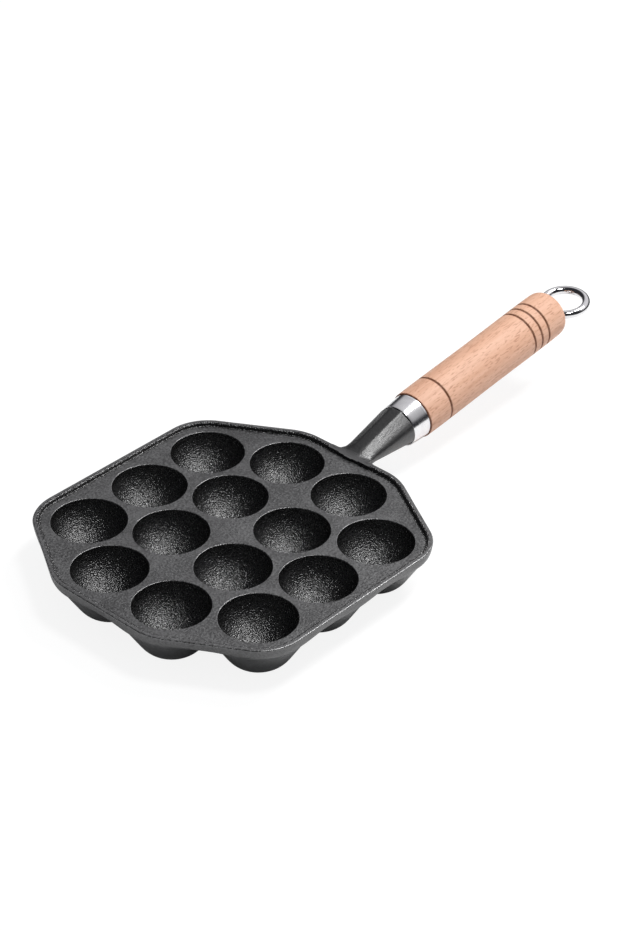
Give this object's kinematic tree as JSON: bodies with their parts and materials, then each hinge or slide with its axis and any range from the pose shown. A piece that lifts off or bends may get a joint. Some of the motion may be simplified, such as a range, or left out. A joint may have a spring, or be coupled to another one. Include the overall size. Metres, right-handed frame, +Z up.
{
  "type": "takoyaki pan",
  "caption": "Eight-sided cast-iron takoyaki pan with half-ball moulds, a slim raised lip, and a turned wooden handle on a steel ferrule that ends in a hanging ring.",
  "frame": {"origin": "middle of the whole object's length and width, on the surface that the pan stands on", "axes": "+X along the pan towards the handle, +Y to the left when the handle points away, +Z up"},
  "size_m": [0.3849, 0.1776, 0.0566],
  "materials": {
    "cast_iron": "satin, sand-cast, pebbled in the moulds",
    "ferrule_steel": "polished",
    "wood": "smooth turned beech, grooves burned brown",
    "rod_steel": "zinc-plated",
    "ring_steel": "plated, bright",
    "washer_steel": "zinc-plated"
  },
  "bodies": {
    "pan": {"pan_casting": "cast_iron", "ferrule": "ferrule_steel", "wood_handle": "wood", "end_washer": "washer_steel"},
    "rod_and_ring": {"tie_rod": "rod_steel", "hanging_ring": "ring_steel"}
  },
  "joints": [
    {"name": "handle_screw", "type": "hinge", "parent": "pan", "child": "rod_and_ring", "pos_m": [0.16967, 0, 0.04392], "axis": [0.9928, 0, 0.1201], "continuous": true}
  ]
}
